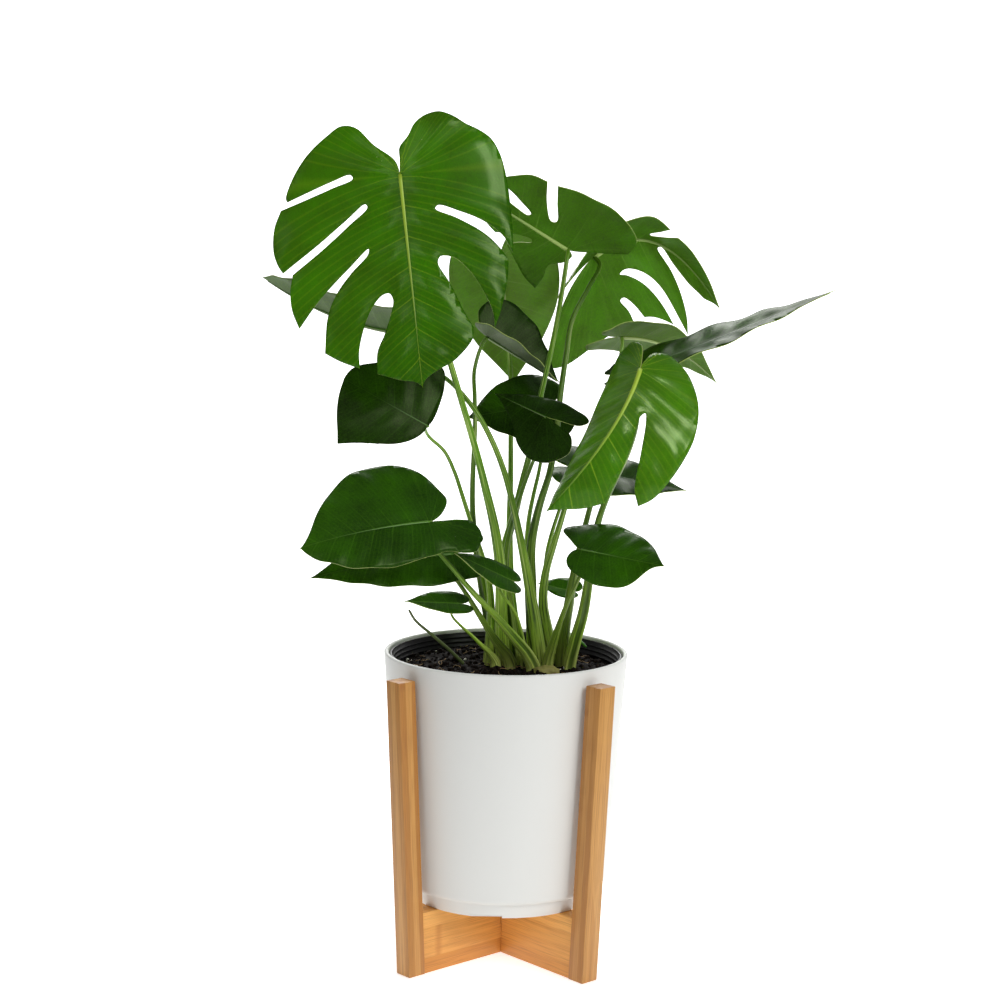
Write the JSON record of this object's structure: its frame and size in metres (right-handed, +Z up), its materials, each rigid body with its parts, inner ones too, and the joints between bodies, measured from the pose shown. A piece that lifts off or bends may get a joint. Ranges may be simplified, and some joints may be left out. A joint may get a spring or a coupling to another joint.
{
  "type": "potted monstera plant",
  "caption": "Split-leaf plant with long-stalked leaves in a nursery pot, standing in a white planter on a crossed wooden stand.",
  "frame": {"origin": "on the pot's axis at floor level, in the middle of the stand's underside", "axes": "+Z up, -Y is the front of the plant, +X is to the right seen from the front"},
  "size_m": [0.5527, 0.2979, 0.8378],
  "materials": {
    "white_plastic": "matte white moulded polypropylene",
    "black_plastic": "black blow-moulded nursery pot",
    "soil": "peat potting mix with bark and perlite",
    "bamboo": "laminated bamboo, clear satin",
    "dowel": "plain beech",
    "leaf": "glossy leaf, matte below",
    "leaf_dark": "old dark leaf, satin",
    "stem": "smooth green leaf stalk"
  },
  "bodies": {
    "root": {"planter": "white_plastic", "drip_tray": "white_plastic", "nursery_pot": "black_plastic", "soil": "soil", "beam_lower": "bamboo", "beam_upper": "bamboo", "leg_front_left": "bamboo", "dowel_front_left_low": "dowel", "dowel_front_left_high": "dowel", "leg_front_right": "bamboo", "dowel_front_right_low": "dowel", "dowel_front_right_high": "dowel", "leg_back_right": "bamboo", "dowel_back_right_low": "dowel", "dowel_back_right_high": "dowel", "leg_back_left": "bamboo", "dowel_back_left_low": "dowel", "dowel_back_left_high": "dowel", "leaf_big_front": "leaf", "stem_big_front": "stem", "leaf_left_flat": "leaf", "stem_left_flat": "stem", "leaf_centre_droop": "leaf", "stem_centre_droop": "stem", "leaf_back_centre": "leaf", "stem_back_centre": "stem", "leaf_back_high": "leaf", "stem_back_high": "stem", "leaf_back_right": "leaf", "stem_back_right": "stem", "leaf_right_under": "leaf", "stem_right_under": "stem", "leaf_right_folded": "leaf", "stem_right_folded": "stem", "leaf_right_long": "leaf", "stem_right_long": "stem", "leaf_mid_back": "leaf_dark", "stem_mid_back": "stem", "leaf_mid_cupped": "leaf_dark", "stem_mid_cupped": "stem", "leaf_left_dark": "leaf_dark", "stem_left_dark": "stem", "leaf_left_low": "leaf", "stem_left_low": "stem", "leaf_left_lowest": "leaf", "stem_left_lowest": "stem", "leaf_small_left": "leaf", "stem_small_left": "stem", "leaf_small_front": "leaf", "stem_small_front": "stem", "leaf_right_low": "leaf", "stem_right_low": "stem", "leaf_small_back": "leaf", "stem_small_back": "stem", "leaf_back_low": "leaf", "stem_back_low": "stem", "tendril": "stem", "new_shoot": "leaf"}
  },
  "joints": []
}
